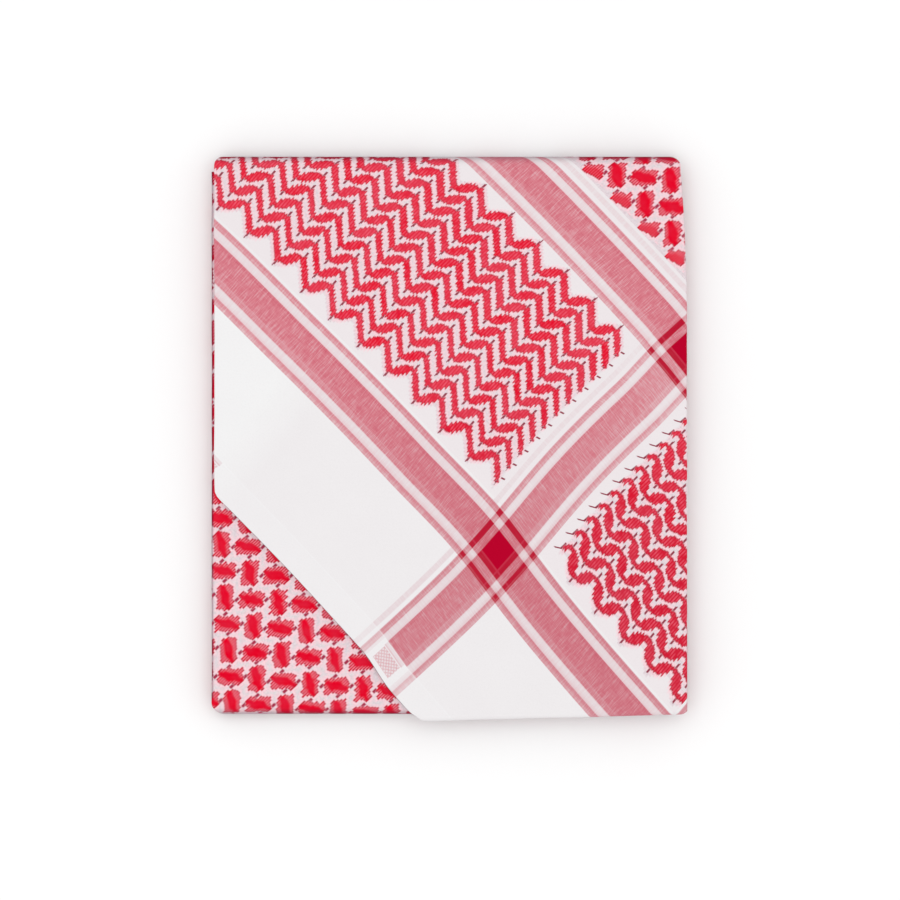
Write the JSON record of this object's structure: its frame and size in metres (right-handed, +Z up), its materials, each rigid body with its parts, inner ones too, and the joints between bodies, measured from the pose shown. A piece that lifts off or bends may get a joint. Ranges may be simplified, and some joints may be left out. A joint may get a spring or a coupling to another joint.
{
  "type": "folded keffiyeh headscarf",
  "caption": "Square woven cotton headscarf, folded to a flat rectangular pack with a slanting front flap, that lies on a surface.",
  "frame": {"origin": "on the surface that the pack lies on, below the middle of its bounding box", "axes": "+X to the right with the flap's slanting selvedge at the lower left, +Y to the top bend, +Z up from the surface"},
  "size_m": [0.2474, 0.2951, 0.0169],
  "materials": {
    "flap_cloth": "matt woven cotton, white ground with red floats, zigzag field, banded border and plain margin",
    "panel_cloth": "matt woven cotton, white ground with red floats, hooked check field",
    "back_cloth": "matt woven cotton, white ground with red floats, hooked check field",
    "inner_cloth": "matt woven cotton, the folded edges of the layers inside the roll"
  },
  "bodies": {
    "root": {"front_flap": "flap_cloth", "under_panel": "panel_cloth", "back_panel": "back_cloth", "hidden_layers": "inner_cloth"}
  },
  "joints": []
}
